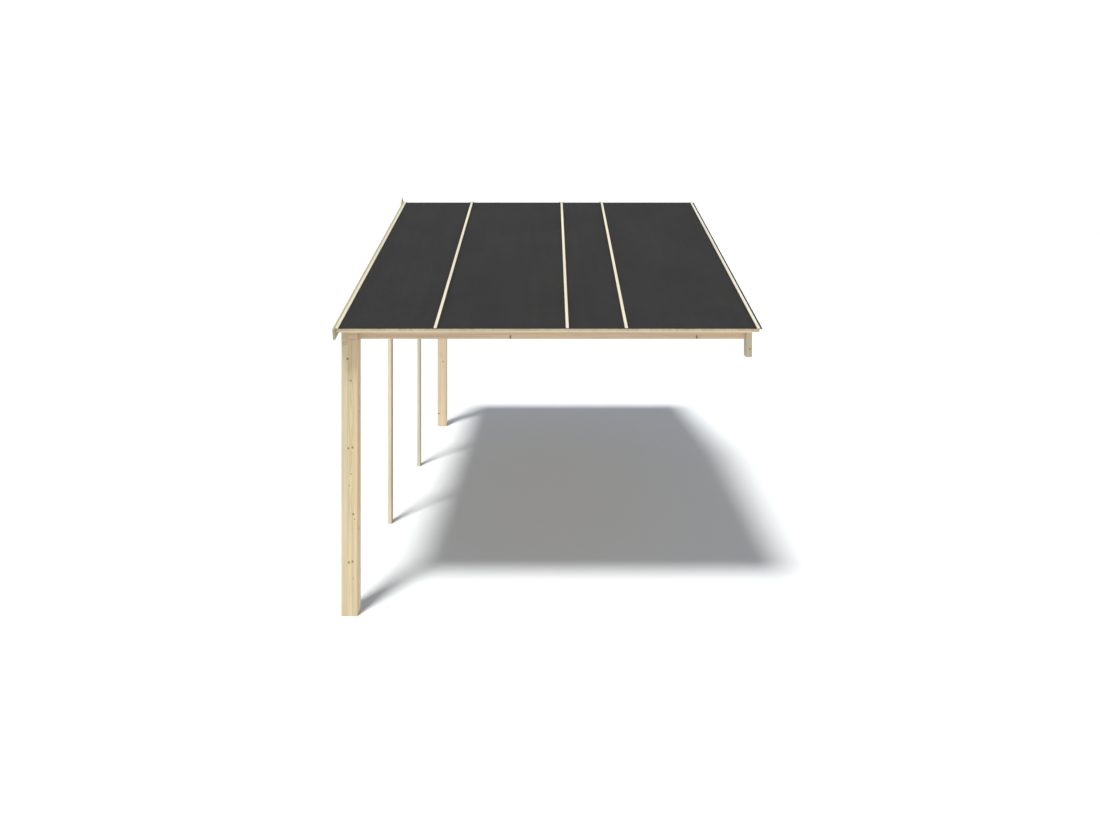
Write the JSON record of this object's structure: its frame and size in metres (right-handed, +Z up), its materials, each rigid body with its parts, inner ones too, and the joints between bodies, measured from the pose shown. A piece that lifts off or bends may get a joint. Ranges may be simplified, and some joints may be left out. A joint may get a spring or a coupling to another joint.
{
  "type": "wall-mounted wooden canopy with a gable roof",
  "caption": "Timber side canopy with a shallow felt-covered gable roof, on posts and studs at its log gable and on wall blocks at the other end.",
  "frame": {"origin": "on the wall face of the block under the ridge purlin, in the middle of the solid wood below the purlin's slot", "axes": "+X into the wall, along the ridge and away from the gable; +Y from the front eave to the rear eave; +Z up"},
  "size_m": [3.1256, 6.348, 3.1362],
  "materials": {
    "post_timber": "planed softwood, bare",
    "purlin_timber": "planed softwood, bare",
    "gable_timber": "planed softwood, bare",
    "roof_boards": "planed softwood boards, bare",
    "batten_timber": "planed softwood, bare",
    "trim_timber": "planed softwood, bare",
    "roofing_felt": "matte bitumen felt with mineral grains"
  },
  "bodies": {
    "root": {"front_corner_post": "post_timber", "rear_corner_post": "post_timber", "gable_stud_1": "post_timber", "gable_stud_2": "post_timber", "front_eave_purlin": "purlin_timber", "rear_eave_purlin": "purlin_timber", "front_lower_purlin": "purlin_timber", "front_upper_purlin": "purlin_timber", "rear_lower_purlin": "purlin_timber", "rear_upper_purlin": "purlin_timber", "ridge_purlin": "purlin_timber", "front_eave_wall_block": "purlin_timber", "rear_eave_wall_block": "purlin_timber", "front_lower_wall_block": "purlin_timber", "front_upper_wall_block": "purlin_timber", "rear_lower_wall_block": "purlin_timber", "rear_upper_wall_block": "purlin_timber", "ridge_wall_block": "purlin_timber", "gable_tie": "gable_timber", "gable_log_1": "gable_timber", "gable_log_2": "gable_timber", "gable_log_3": "gable_timber", "gable_log_4": "gable_timber", "gable_log_5": "gable_timber", "gable_log_6_front": "gable_timber", "gable_log_6_rear": "gable_timber", "front_roof_boards": "roof_boards", "rear_roof_boards": "roof_boards", "felt_sheet_1": "roofing_felt", "felt_sheet_2": "roofing_felt", "felt_sheet_3": "roofing_felt", "felt_sheet_4": "roofing_felt", "front_gable_verge_batten": "batten_timber", "front_felt_batten_1": "batten_timber", "front_felt_batten_2": "batten_timber", "front_felt_batten_3": "batten_timber", "front_wall_verge_batten": "batten_timber", "rear_gable_verge_batten": "batten_timber", "rear_felt_batten_1": "batten_timber", "rear_felt_batten_2": "batten_timber", "rear_felt_batten_3": "batten_timber", "rear_wall_verge_batten": "batten_timber", "front_bargeboard": "trim_timber", "rear_bargeboard": "trim_timber", "gable_diamond": "trim_timber"}
  },
  "joints": []
}
